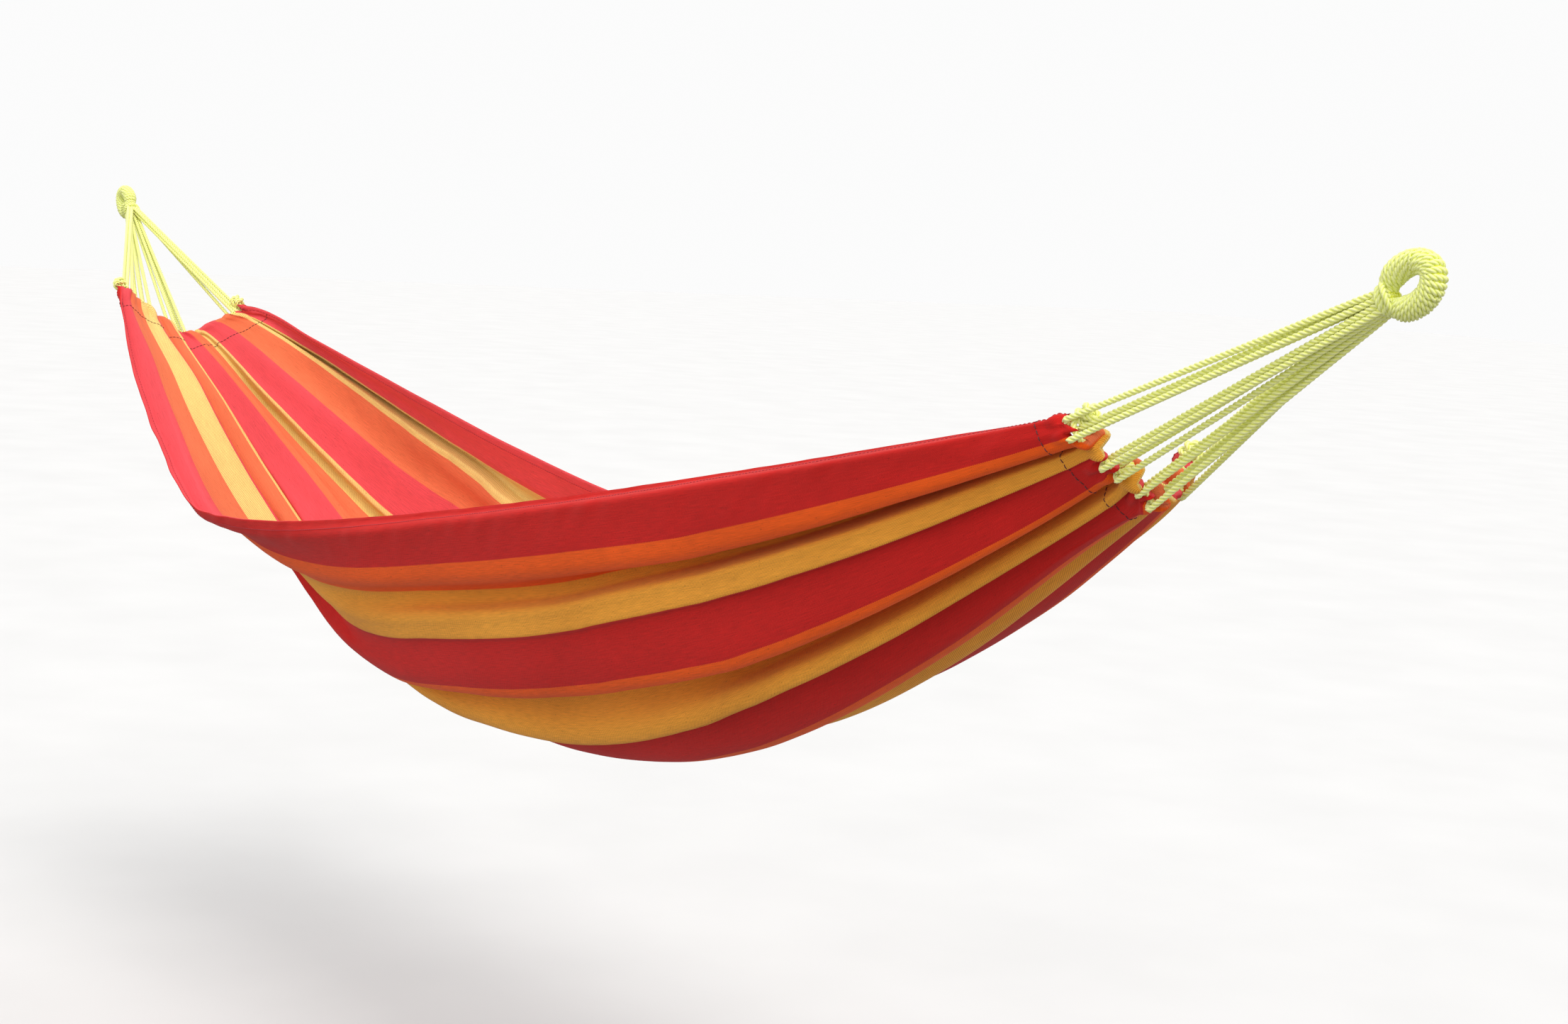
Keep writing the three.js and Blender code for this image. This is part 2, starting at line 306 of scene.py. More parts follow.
def ellipse(a, b, angle):
    """Points round the origin, with the half axes a and b."""
    return a * np.cos(angle) + b * np.sin(angle)


def interpolate(places, known, values):
    """Vectors at the places, from the values at the known places."""
    return np.stack([np.interp(places, known, values[:, k]) for k in range(3)], -1)


def arc_length(points):
    """The length along a path up to each of its points."""
    steps = np.linalg.norm(np.diff(points, axis=0), axis=1)
    return np.concatenate([[0], np.cumsum(steps)])


# ---------------------------------------------------------------- bed surface


def hump(s, shape, power):
    """1 at its peak and 0 at both hems."""
    peak = shape["peak"]
    reach = np.where(s < peak, 1 + peak, 1 - peak)

    def rounded(x):
        return np.hypot(x, PEAK_ROUNDING) - PEAK_ROUNDING

    away = rounded((s - peak) / reach) / rounded(1)
    return np.maximum(0, 1 - away ** shape["sharpness"]) ** power


def bed_point(s, t):
    """The middle surface: s from hem to hem, t from the near rim to the far rim."""
    inside = np.clip(s, -1, 1)

    def between(pair):
        return mix(*pair, (inside + 1) / 2)

    def rim(key, power):
        at_near = mix(between(NEAR_CORNER[key]), NEAR_RIM[key], hump(inside, NEAR_RIM, power))
        at_far = mix(between(FAR_CORNER[key]), FAR_RIM[key], hump(inside, FAR_RIM, power))
        return np.where(t < 0, at_near, at_far)

    sag = hump(inside, KEEL, KEEL["fullness"])
    keel_height = mix(between(HEM_KEEL), KEEL["height"], sag)
    angle = t * math.pi / 2
    power = mix(SECTION_POWER, HEM_POWER, np.abs(inside) ** HEM_POWER_FADE)
    climb = np.maximum(0, 1 - np.cos(angle)) ** power
    reach = np.sign(s) * between(HEM_REACH) * np.abs(inside) ** HEM_FADE
    x = BED_HALF * s + reach * (1 - climb)
    y = rim("half", RIM_SPREAD) * np.sin(angle) + KEEL["shift"] * sag * (1 - climb)
    z = mix(keel_height, rim("height", RIM_FALL), climb)
    return MIDDLE + np.stack([x, y, z], -1)


def sections(s):
    """For each section: t, and the length of cloth up to it."""
    t = np.linspace(-1, 1, SECTION_SAMPLES)
    points = bed_point(s[:, None], t[None, :])
    steps = np.linalg.norm(np.diff(points, axis=1), axis=2)
    return t, np.concatenate([np.zeros((len(s), 1)), np.cumsum(steps, 1)], 1)


def surface(s, share):
    """Points of the middle surface at s (n) and shares of the section's length (n by m)."""
    t, length = sections(s)
    across = np.stack([np.interp(share[i] * length[i, -1], length[i], t) for i in range(len(s))])
    return bed_point(s[:, None], across)


def gap_to_hem(s):
    return (1 - np.abs(np.clip(s, -1, 1)))[:, None] * BED_HALF


def fold_profile(stripe, knots):
    places = np.array([k[0] for k in knots])
    heights = np.array([k[1] for k in knots])
    i = np.clip(np.searchsorted(places, stripe, side="right") - 1, 0, len(places) - 2)
    share = smooth((stripe - places[i]) / (places[i + 1] - places[i]))
    return mix(heights[i], heights[i + 1], share)


def fold_shape(s, stripe):
    start, end = FOLD_CHANGE
    right = smooth((s - start) / (end - start))[:, None]
    return mix(fold_profile(stripe, LEFT_FOLDS)[None, :], fold_profile(stripe, RIGHT_FOLDS)[None, :], right)


def fold_cloth(s, stripe):
    """The folds take up the width of cloth that each section has no room for.

    Gives, for each section, the share of its length at each stripe position, and the fold height there.
    """
    _, length = sections(s)
    room = length[:, -1:]
    shape = fold_shape(s, stripe)
    step = np.diff(stripe)[None, :] * STRIPE_WIDTH
    rise = np.diff(shape, axis=1)
    least = STEEP_WIDTH * step
    most = GATHER_SPREAD * room / CLOTH_WIDTH * step

    def widths(size):
        return np.minimum(most, np.sqrt(np.maximum(least**2, step**2 - (size * rise) ** 2)))

    low = np.zeros((len(s), 1))
    high = np.full((len(s), 1), LARGEST_FOLD)
    for _ in range(FOLD_BISECTIONS):
        size = (low + high) / 2
        too_wide = widths(size).sum(1, keepdims=True) > room
        low, high = np.where(too_wide, size, low), np.where(too_wide, high, size)
    taken = np.concatenate([np.zeros((len(s), 1)), np.cumsum(widths(size), 1)], 1)
    limit = mix(FOLD_LIMIT_AT_HEM, FOLD_LIMIT, smooth(gap_to_hem(s) / FOLD_GROWTH))
    return taken / taken[:, -1:], np.minimum(size, limit) * shape


def cloud(x, y, seed):
    """Smooth random heights between -1 and 1 over a plane, with unit spacing."""
    values = np.random.default_rng(seed).uniform(-1, 1, (FIELD_SIZE, FIELD_SIZE))
    x, y = np.broadcast_arrays(x, y)
    i, j = np.floor(x).astype(int), np.floor(y).astype(int)
    u, v = smooth(x - i), smooth(y - j)
    i0, i1 = i % FIELD_SIZE, (i + 1) % FIELD_SIZE
    j0, j1 = j % FIELD_SIZE, (j + 1) % FIELD_SIZE
    return mix(mix(values[i0, j0], values[i1, j0], u), mix(values[i0, j1], values[i1, j1], u), v)


def wrinkles(s, stripe):
    """Small heights of the cloth: puckers and creases at the hems, waves, crumples and rim creases."""
    gap = gap_to_hem(s)
    s, stripe = s[:, None], stripe[None, :]

    def field(kind):
        along = s * kind["along"] + stripe * kind["slant"]
        return kind["height"] * cloud(along, stripe * kind["across"], kind["seed"])

    puckers = np.exp(-gap / PUCKER_FADE) * field(PUCKERS)
    creases = np.exp(-gap / CREASE_FADE) * field(CREASES)
    waves = field(BROAD_WAVES) + field(FINE_WAVES)
    crumpled_stripe = np.exp(-(((stripe - CRUMPLED_STRIPE) / CRUMPLED_WIDTH) ** 2))
    crumples = crumpled_stripe * smooth((CRUMPLE_END - s) / CRUMPLE_FADE) * field(CRUMPLES)
    rim_creases = np.exp(-((stripe / RIM_CREASE_WIDTH) ** 2)) * field(RIM_CREASES)
    return puckers + creases + waves + crumples + rim_creases


def grid_normals(points):
    """Unit normals of a grid, on the side that faces up at its middle."""
    normal = unit(np.cross(np.gradient(points, axis=0), np.gradient(points, axis=1)))
    rows, columns = normal.shape[:2]
    return normal if normal[rows // 2, columns // 2, 2] > 0 else -normal


def soften(grid, rounds):
    """Averages a grid of vectors with its neighbours, across it and then along it."""
    grid = grid.copy()
    for _ in range(rounds):
        grid[:, 1:-1] = (grid[:, :-2] + 2 * grid[:, 1:-1] + grid[:, 2:]) / 4
        grid[1:-1] = (grid[:-2] + 2 * grid[1:-1] + grid[2:]) / 4
    return grid


def smooth_path(points, rounds=30):
    points = points.copy()
    for _ in range(rounds):
        points[1:-1] = (points[:-2] + 2 * points[1:-1] + points[2:]) / 4
    return points


# ---------------------------------------------------------------- mesh helpers


def new_object(name, vertices, faces, material, attributes=None):
    mesh = bpy.data.meshes.new(name)
    mesh.from_pydata(np.asarray(vertices).tolist(), [], [list(map(int, face)) for face in faces])
    mesh.polygons.foreach_set("use_smooth", np.ones(len(mesh.polygons), bool))
    for key, values in (attributes or {}).items():
        layer = mesh.attributes.new(key, "FLOAT", "POINT")
        layer.data.foreach_set("value", np.asarray(values, np.float32))
    mesh.materials.append(material)
    thing = bpy.data.objects.new(name, mesh)
    bpy.context.scene.collection.objects.link(thing)
    return thing


def axes_along(points, references):
    """Unit axes square to a path. The references keep them from twisting."""
    tangent = unit(np.gradient(points, axis=0))
    side = unit(references - (references * tangent).sum(-1, keepdims=True) * tangent)
    return side, np.cross(tangent, side)


def tube(points, references, radii, sides):
    """Vertices and faces of a capped tube along a path."""
    side, up = axes_along(points, references)
    angle = (np.arange(sides) * TURN / sides)[None, :, None]
    ring = ellipse(side[:, None], up[:, None], angle)
    vertices = (points[:, None] + ring * np.asarray(radii)[:, None, None]).reshape(-1, 3)
    rows = np.arange(len(points) - 1)[:, None] * sides
    i = np.arange(sides)[None, :]
    j = (i + 1) % sides
    faces = np.stack([rows + i, rows + j, rows + sides + j, rows + sides + i], -1).reshape(-1, 4).tolist()
    last = (len(points) - 1) * sides
    faces.append(list(range(sides))[::-1])
    faces.append([last + k for k in range(sides)])
    return vertices, faces


def resample(points, spacing):
    """The path again with even steps, and the length along it at each."""
    length = arc_length(points)
    count = max(3, int(round(length[-1] / spacing)))
    places = np.linspace(0, length[-1], count + 1)
    return interpolate(places, length, points), places


class Bundle:
    """Collects tubes into one mesh. Crown says how far out from the rope's centre a point lies."""

    def __init__(self):
        self.vertices = []
        self.faces = []
        self.crown = []
        self.count = 0

    def add(self, vertices, faces, crown):
        self.vertices.append(vertices)
        self.crown.append(np.broadcast_to(crown, len(vertices)))
        self.faces.extend([[k + self.count for k in face] for face in faces])
        self.count += len(vertices)

    def make(self, name, material):
        vertices = np.concatenate(self.vertices)
        return new_object(name, vertices, self.faces, material, {"crown": np.concatenate(self.crown)})


def add_rope(bundle, centre, references, radius, lay=LAY_LENGTH, strands=3, phase=0.0, sides=7):
    """A laid rope: strands wound as helices round the centre line."""
    centre, places = resample(centre, lay / LAY_STEPS)
    even = np.linspace(0, 1, len(references))
    references = interpolate(np.linspace(0, 1, len(centre)), even, references)
    side, up = axes_along(centre, references)
    radius = np.full(len(centre), radius)
    strand_share = 1 / (1 + 1 / math.sin(math.pi / strands))
    strand_radius = radius * strand_share * STRAND_OVERLAP
    orbit = radius * (1 - strand_share)
    for k in range(strands):
        angle = TURN * (places / lay + k / strands) + phase
        out = ellipse(side, up, angle[:, None])
        vertices, faces = tube(centre + out * orbit[:, None], out, strand_radius, sides)
        centres = np.repeat(centre, sides, axis=0)
        crown = np.linalg.norm(vertices - centres, axis=1) / np.repeat(radius, sides)
        bundle.add(vertices, faces, np.clip(crown, 0, 1))


# ---------------------------------------------------------------- material helpers


class Graph:
    """Short ways to add and link the nodes of a material or a world."""

    def __init__(self, tree):
        self.nodes = tree.nodes
        self.links = tree.links

    def new(self, kind, **settings):
        node = self.nodes.new("ShaderNode" + kind)
        for key, value in settings.items():
            setattr(node, key, value)
        return node

    def feed(self, slot, value):
        """Sets a slot to a number or a colour, or links it to another node's output."""
        if isinstance(value, (int, float)):
            slot.default_value = value
        elif isinstance(value, tuple):
            slot.default_value = (*value, 1)
        else:
            self.links.new(value, slot)

    def object_place(self):
        return self.new("TexCoord").outputs["Object"]

    def camera_ray(self):
        return self.new("LightPath").outputs["Is Camera Ray"]

    def attribute(self, name):
        return self.new("Attribute", attribute_name=name).outputs["Fac"]

    def maths(self, operation, *values):
        node = self.new("Math", operation=operation)
        for slot, value in zip(node.inputs, values):
            self.feed(slot, value)
        return node.outputs[0]

    def wave(self, place, pitch):
        """Between 0 and 1, once for each pitch."""
        phase = self.maths("MULTIPLY", place, TURN / pitch)
        return self.maths("MULTIPLY_ADD", self.maths("SINE", phase), 0.5, 0.5)

    def ramp(self, value, stops, interpolation="LINEAR"):
        node = self.new("ValToRGB")
        node.color_ramp.interpolation = interpolation
        elements = node.color_ramp.elements
        while len(elements) < len(stops):
            elements.new(0.5)
        for element, (place, colour) in zip(elements, stops):
            element.position = place
            element.color = (*colour, 1)
        self.feed(node.inputs[0], value)
        return node.outputs[0]

    def grey_ramp(self, value, *stops):
        return self.ramp(value, [(place, (grey,) * 3) for place, grey in stops])

    def thirds(self, value, colours):
        """One of three colours, for each third of the value's range."""
        return self.ramp(value, [(k / 3, colour) for k, colour in enumerate(colours)], "CONSTANT")

    def mix(self, blend, share, a, b):
        node = self.new("Mix", data_type="RGBA", blend_type=blend)
        for index, value in ((0, share), (6, a), (7, b)):
            self.feed(node.inputs[index], value)
        return node.outputs[2]

    def stretched(self, vector, grain):
        node = self.new("VectorMath", operation="MULTIPLY")
        self.feed(node.inputs[0], vector)
        node.inputs[1].default_value = (*grain, 1)
        return node.outputs[0]

    def noise(self, vector, scale, detail, roughness=0.5):
        node = self.new("TexNoise")
        inputs = {"Vector": vector, "Scale": scale, "Detail": detail, "Roughness": roughness}
        for key, value in inputs.items():
            self.feed(node.inputs[key], value)
        return node.outputs["Fac"]

    def bump(self, height, strength, distance):
        node = self.new("Bump")
        for key, value in (("Strength", strength), ("Distance", distance), ("Height", height)):
            self.feed(node.inputs[key], value)
        return node.outputs[0]

    def shade(self, inputs):
        """Ends the material in one principled shader with these inputs."""
        shader = self.new("BsdfPrincipled")
        for key, value in inputs.items():
            self.feed(shader.inputs[key], value)
        self.links.new(shader.outputs[0], self.new("OutputMaterial").inputs[0])


def new_material(name):
    material = bpy.data.materials.new(name)
    material.use_nodes = True
    material.node_tree.nodes.clear()
    return material, Graph(material.node_tree)


# ---------------------------------------------------------------- materials


def cord_material(name, colours):
    """Twisted line: pale on the crowns of the strands and deeper in the grooves, as painted shade between
    the strands, with a fine fibre.
    """
    crown_colour, groove_shade_colour = colours
    material, graph = new_material(name)
    place = graph.object_place()
    half_way = mix(np.array(groove_shade_colour), np.array(crown_colour), 0.6)
    # Painted shade: the colour deepens from the pale crowns into the grooves, by the crown attribute.
    stops = [(0.45, groove_shade_colour), (0.78, half_way), (1.0, crown_colour)]
    plain = graph.ramp(graph.attribute("crown"), stops)
    tint_share = graph.maths("MULTIPLY", graph.noise(place, CORD_MOTTLE, 2), 0.3)
    tinted = graph.mix("MULTIPLY", tint_share, plain, CORD_TINT)
    fibre = graph.noise(place, CORD_FIBRE, 4, 0.7)
    flecks = graph.ramp(fibre, [(0.35, (0.9, 0.9, 0.88)), (0.65, (1.04, 1.04, 1.04))])
    graph.shade({
        "Base Color": graph.mix("MULTIPLY", 0.8, tinted, flecks),
        "Roughness": 0.82,
        "Sheen Weight": 0.15,
        "Sheen Roughness": 0.5,
        "Normal": graph.bump(fibre, 0.3, 0.3 * MM),
    })
    return material


def twill(graph, along, across):
    """Height of the weave: diagonal ribs, broken by the single threads."""
    rib = graph.wave(graph.maths("ADD", along, across), TWILL_PITCH)
    thread = graph.wave(graph.maths("SUBTRACT", across, along), THREAD_PITCH)
    return graph.maths("MULTIPLY_ADD", thread, THREAD_SHARE, graph.maths("MULTIPLY", rib, RIB_SHARE))


def warp_cycle(graph, along, stripe):
    """0 to 1 over three stripes, whose edges step in a small zigzag, one tooth to each rib."""
    tooth = graph.maths("PINGPONG", graph.maths("MULTIPLY", along, 1 / TWILL_PITCH), 0.5)
    place = graph.maths("ADD", stripe, graph.maths("MULTIPLY_ADD", tooth, TOOTH_HEIGHT, TOOTH_SET))
    return graph.maths("DIVIDE", graph.maths("MODULO", place, 3.0), 3.0)


def worn(graph, colour, sheet, slub):
    """Slubs along the warp, dark and bright flecks, and broad fading."""
    slubs = graph.grey_ramp(slub, (0.30, 0.80), (0.5, 1), (0.75, 1.22))
    colour = graph.mix("MULTIPLY", 0.7, colour, slubs)
    fleck = graph.noise(graph.stretched(sheet, FLECK_GRAIN), 1, 1)
    dark, even, bright = (0.35, 0.30, 0.25), (1, 1, 1), (1.5, 1.7, 1.9)
    flecks = graph.ramp(fleck, [(0.22, dark), (0.31, even), (0.72, even), (0.80, bright)])
    colour = graph.mix("MULTIPLY", 0.55, colour, flecks)
    fade = graph.noise(graph.stretched(sheet, FADE_GRAIN), 1, 3, 0.55)
    faded = graph.ramp(fade, [(0.3, (0.90, 0.88, 0.86)), (0.7, (1.06, 1.08, 1.10))])
    return graph.mix("MULTIPLY", 1.0, colour, faded)


def cloth_material():
    """Woven stripes from the cloth's own coordinates: along it in metres, and across it in stripes."""
    material, graph = new_material("striped_cloth")
    along = graph.attribute("along")
    stripe = graph.attribute("stripe")
    across = graph.maths("MULTIPLY", stripe, STRIPE_WIDTH)
    sheet = graph.new("CombineXYZ")
    graph.feed(sheet.inputs[0], along)
    graph.feed(sheet.inputs[1], across)
    weave = twill(graph, along, across)
    cycle = warp_cycle(graph, along, stripe)
    # The inner face takes the paler copy of the stripe colours: painted light and sheen on the bed's inside.
    outer = graph.thirds(cycle, OUTER_COLOURS)
    inner = graph.thirds(cycle, LIT_INNER_COLOURS)
    warp = graph.mix("MIX", graph.attribute("inner"), outer, inner)
    # The weft is orange-red and shows in the low spots between the warp threads, most of all on yellow.
    weft_show = graph.thirds(cycle, [(share,) * 3 for share in WEFT_SHARES])
    low_spots = graph.grey_ramp(weave, (0.15, 1), (0.6, 0))
    woven = graph.mix("MIX", graph.maths("MULTIPLY", weft_show, low_spots), warp, WEFT_COLOUR)
    slub = graph.noise(graph.stretched(sheet.outputs[0], SLUB_GRAIN), 1, 2, 0.6)
    height = graph.maths("ADD", graph.maths("MULTIPLY", weave, 0.7), graph.maths("MULTIPLY", slub, 0.5))
    graph.shade({
        "Base Color": worn(graph, woven, sheet.outputs[0], slub),
        "Roughness": graph.maths("MULTIPLY_ADD", weave, 0.12, 0.74),
        "Specular IOR Level": 0.15,
        "Sheen Weight": 0.06,
        "Sheen Roughness": 0.5,
        "Normal": graph.bump(height, 0.45, 0.35 * MM),
    })
    return material


def floor_material():
    """Pale to the camera, and darker to the light that it throws back up."""
    material, graph = new_material("pale_floor")
    seen = graph.grey_ramp(graph.noise(graph.object_place(), FLOOR_MOTTLE, 3), (0.3, 0.70), (0.7, 0.73))
    graph.shade({
        "Base Color": graph.mix("MIX", graph.camera_ray(), (0.3, 0.3, 0.3), seen),
        "Roughness": 0.95,
        "Specular IOR Level": 0.1,
    })
    return material


# ---------------------------------------------------------------- bed


class Bed:
    """The folded cloth as grids, with a row for each section and a column for each thread line."""

    def __init__(self):
        past_end = HEADER_SETBACK + POCKET_REACH
        even = np.linspace(-1, 1, LENGTH_CELLS + 1)
        self.s = (1 + past_end / BED_HALF) * np.sin(even * ROW_CROWDING) / math.sin(ROW_CROWDING)
        self.stripe = np.linspace(0, STRIPES, STRIPES * CELLS_PER_STRIPE + 1)
        self.share, height = fold_cloth(self.s, self.stripe)
        plain = surface(self.s, self.share)
        height = height + wrinkles(self.s, self.stripe)
        self.middle = plain + grid_normals(plain) * height[..., None]
        self.along = arc_length(plain[:, len(self.stripe) // 2])
        self.end_gap = (np.abs(self.s[-1]) - np.abs(self.s)) * BED_HALF
        self.header = {}
        for end in ENDS:
            at_header = ENDS[end]["side"] * (1 + HEADER_SETBACK / BED_HALF)
            row = int(np.argmin(np.abs(self.s - at_header)))
            self.header[end] = (self.share[row], smooth_path(self.middle[row]))
            self.open_slits(end)
        self.normal = unit(soften(grid_normals(self.middle), NORMAL_SOFTENING))

    def open_slits(self, end):
        """Draws the cloth's end back from the header rope where the cord loops hold it."""
        side = ENDS[end]["side"]
        depth = np.zeros(len(self.stripe))
        for place in LOOP_PLACES[end]:
            away = (self.header[end][0] - place) / SLIT_HALF_WIDTH
            depth = np.maximum(depth, SLIT_DEPTH * np.exp(-(away**4)))
        pull = smooth(1 - self.end_gap / SLIT_REACH) * (self.s * side > 0)
        for column in np.flatnonzero(depth > LEAST_SLIT):
            target = self.s - side * pull * depth[column] / BED_HALF
            self.middle[:, column] = interpolate(target, self.s, self.middle[:, column])

    def half_thickness(self):
        """Half the cloth's thickness: doubled at the hems, and round about the header rope's pocket."""
        gap = self.end_gap
        body = smooth(1 - np.abs(gap - POCKET_REACH) / POCKET_TAPER)
        tip = np.sqrt(np.maximum(0, 1 - (1 - np.minimum(gap, POCKET_REACH) / POCKET_REACH) ** 2))
        half = mix(CLOTH_HALF_THICKNESS, POCKET_HALF, np.where(gap < POCKET_REACH, tip, body))
        end_hem = CLOTH_HALF_THICKNESS * smooth((END_HEM - gap) / HEM_STEP)
        edge_gap = np.minimum(self.stripe, STRIPES - self.stripe) * STRIPE_WIDTH
        edge_hem = CLOTH_HALF_THICKNESS * smooth((EDGE_HEM - edge_gap) / HEM_STEP)
        return (half + end_hem)[:, None] + edge_hem[None, :]

    def header_at(self, end, share):
        shares, points = self.header[end]
        return interpolate(share, shares, points)


def make_bed(bed, material):
    offset = bed.half_thickness()[..., None]
    upper = bed.middle + bed.normal * offset
    lower = bed.middle - bed.normal * offset
    rows, columns = bed.middle.shape[:2]
    count = rows * columns
    index = np.arange(count).reshape(rows, columns)
    corners = [index[:-1, :-1], index[1:, :-1], index[1:, 1:], index[:-1, 1:]]
    quads = np.stack(corners, -1).reshape(-1, 4)
    rim = np.concatenate([index[0, :-1], index[:-1, -1], index[-1, :0:-1], index[:0:-1, 0]])
    following = np.roll(rim, -1)
    edge = np.stack([rim, following, following + count, rim + count], -1)
    faces = np.concatenate([quads, quads[:, ::-1] + count, edge])
    attributes = {
        "along": np.tile(np.repeat(bed.along, columns), 2),
        "stripe": np.tile(np.tile(bed.stripe, rows), 2),
        # 1 on the upper, inner face, whose colours carry painted light, and 0 on the outer face
        "inner": np.repeat([1.0, 0.0], count),
    }
    vertices = np.concatenate([upper.reshape(-1, 3), lower.reshape(-1, 3)])
    fabric = new_object("bed_fabric", vertices, faces, material, attributes)
    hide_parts("bed_cloth")
    return fabric


# ---------------------------------------------------------------- stitching


def add_stitches(bundle, line, normal, offset):
    """Short raised stitches along a line on both faces, dipping into the cloth at their ends."""
    count = len(STITCH_LIFTS)
    for up in (normal, -normal):
        path = line + up * offset[:, None]
        length = arc_length(path)
        starts = np.arange(0, length[-1] - STITCH_LENGTH, STITCH_LENGTH + STITCH_GAP)
        places = starts[:, None] + np.linspace(0, STITCH_LENGTH, count)[None, :]
        ups = interpolate(places, length, up)
        points = interpolate(places, length, path) + ups * np.array(STITCH_LIFTS)[None, :, None]
        for stitch, references in zip(points, ups):
            vertices, faces = tube(stitch, references, np.full(count, THREAD_RADIUS), 5)
            bundle.add(vertices, faces, THREAD_CROWN)


def make_stitching(bed, end_material, edge_material):
    """A line of stitches along each end hem and each edge hem."""
    offset = bed.half_thickness()
    ends = Bundle()
    for half_of_bed in (bed.s < 0, bed.s > 0):
        rows = np.flatnonzero(half_of_bed)
        row = rows[np.argmin(np.abs(bed.end_gap[rows] - (END_HEM - STITCH_INSET)))]
        add_stitches(ends, bed.middle[row], bed.normal[row], offset[row])
    edges = Bundle()
    edge_cells = round((EDGE_HEM - STITCH_INSET) / STRIPE_WIDTH * CELLS_PER_STRIPE)
    for column in (edge_cells, len(bed.stripe) - 1 - edge_cells):
        add_stitches(edges, bed.middle[:, column], bed.normal[:, column], offset[:, column])
    return ends.make("end_hem_stitches", end_material), edges.make("edge_hem_stitches", edge_material)


# ---------------------------------------------------------------- header ropes and cords


def throat_axes(end):
    side = ENDS[end]["side"]
    inward = np.array([-side * math.cos(THROAT_TILT), 0, -math.sin(THROAT_TILT)])
    up = np.array([-side * math.sin(THROAT_TILT), 0, math.cos(THROAT_TILT)])
    return inward, np.array([0, 1.0, 0]), up


def leg(end, cell, foot):
    """Points of one leg of a loop: inside the eye's binding, below it, and at the hem."""
    inward, across, up = throat_axes(end)
    eye = ENDS[end]["eye"]
    offset = across * (cell[0] - 1.5) * CORD_TOP_SPACING + up * (cell[1] - 1.5) * CORD_TOP_SPACING
    top = eye + inward * CORD_START + offset * CORD_TOP_PINCH
    neck = eye + inward * CORD_NECK + offset
    return np.stack([top, neck, foot])


def curve_through(points, steps):
    """Catmull-Rom curve through the points."""
    padded = np.concatenate([2 * points[:1] - points[1:2], points, 2 * points[-1:] - points[-2:-1]])
    out = []
    for i in range(1, len(padded) - 2):
        t = np.linspace(0, 1, steps, endpoint=False)[:, None]
        a, b, c, d = padded[i - 1:i + 3]
        bend = (2 * a - 5 * b + 4 * c - d) * t**2 + (3 * b - a - 3 * c + d) * t**3
        out.append(0.5 * (2 * b + (c - a) * t + bend))
    out.append(points[-1:])
    return np.concatenate(out)


def loop_path(bed, end, index):
    """From the throat down one leg, round the header rope, and back up the other leg."""
    share = LOOP_PLACES[end][index]
    nearby = np.array([share - LOOP_HALF_SHARE, share, share + LOOP_HALF_SHARE])
    before, centre, after = bed.header_at(end, nearby)
    along = unit(after - before)
    pull = ENDS[end]["throat"] - centre
    pull = unit(pull - along * (pull @ along))
    outward = np.cross(along, pull) * ENDS[end]["side"]
    bight = centre - BIGHT_RADIUS * ellipse(outward, pull, np.linspace(0, math.pi, BIGHT_POINTS)[:, None])
    outer_cell, inner_cell = LEG_CELLS[index]
    down = leg(end, inner_cell, bight[0])
    back = leg(end, outer_cell, bight[-1])[::-1]
    down_points = [mix(down[1], down[2], k) for k in LEG_POINTS]
    back_points = [mix(back[0], back[1], k) for k in LEG_POINTS]
    points = np.concatenate([down[:2], down_points, bight, back_points, back[1:]])
    return curve_through(points, CURVE_STEPS), along


def make_cords(bed, end, material):
    """The eight loops, each from the throat down to the hem, round the header rope and back."""
    for index in range(len(LOOP_PLACES[end])):
        path, along = loop_path(bed, end, index)
        bundle = Bundle()
        references = np.repeat(along[None, :], len(path), axis=0)
        add_rope(bundle, path, references, CORD_RADIUS, phase=index * LOOP_PHASE)
        piece = bundle.make(f"{end}_cord_{index + 1}", material)
        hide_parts(f"{end}_cord_loop_{index + 1}")
        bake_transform(piece)


def make_header(bed, end, material):
    """The rope in the end hem's pocket, with a stopper knot past each corner."""
    points = bed.header_at(end, np.linspace(0, 1, HEADER_POINTS))
    throat = ENDS[end]["throat"]
    near_pull, far_pull = unit(throat - points[0]), unit(throat - points[-1])
    near_knot = points[0] + near_pull * KNOT_REACH
    far_knot = points[-1] + far_pull * KNOT_REACH
    near_tail = [near_knot + near_pull * KNOT_TAIL, near_knot]
    far_tail = [far_knot, far_knot + far_pull * KNOT_TAIL]
    path = np.concatenate([near_tail, points[1:-1], far_tail])
    outward = np.array([float(ENDS[end]["side"]), 0, 0])
    bundle = Bundle()
    add_rope(bundle, path, np.repeat(outward[None], len(path), axis=0), CORD_RADIUS)
    add_knot(bundle, near_knot, near_pull)
    add_knot(bundle, far_knot, far_pull)
    header = bundle.make(f"{end}_header", material)
    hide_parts(f"{end}_header_rope")
    return header


def add_knot(bundle, centre, axis):
    """A round stopper knot: one cord that goes three times round while it weaves in and out."""
    side = unit(np.cross(axis, [0.3, 0.9, 0.2]))
    up = np.cross(axis, side)
    t = np.linspace(0, TURN, KNOT_POINTS)[:, None]
    ring = ellipse(side, up, KNOT_ROUNDS * t)
    swell = KNOT_RADIUS + KNOT_SWELL * np.cos(KNOT_WEAVES * t)
    points = centre + ring * swell + axis * KNOT_HALF_LENGTH * np.sin(KNOT_WEAVES * t)
    add_rope(bundle, points, points - centre, KNOT_CORD_RADIUS)


# ---------------------------------------------------------------- eyes


def eye_path(end):
    """The bent bundle's centre line: round the eye from one side of the throat to the other."""
    inward, _, up = throat_axes(end)
    angle = np.radians(np.linspace(EYE_GAP, 360 - EYE_GAP, EYE_POINTS))[:, None]
    oval = ellipse(inward * (EYE_RADIUS + EYE_STRETCH), up * EYE_HALF_WIDTH, angle)
    return ENDS[end]["eye"] + inward * EYE_STRETCH + oval


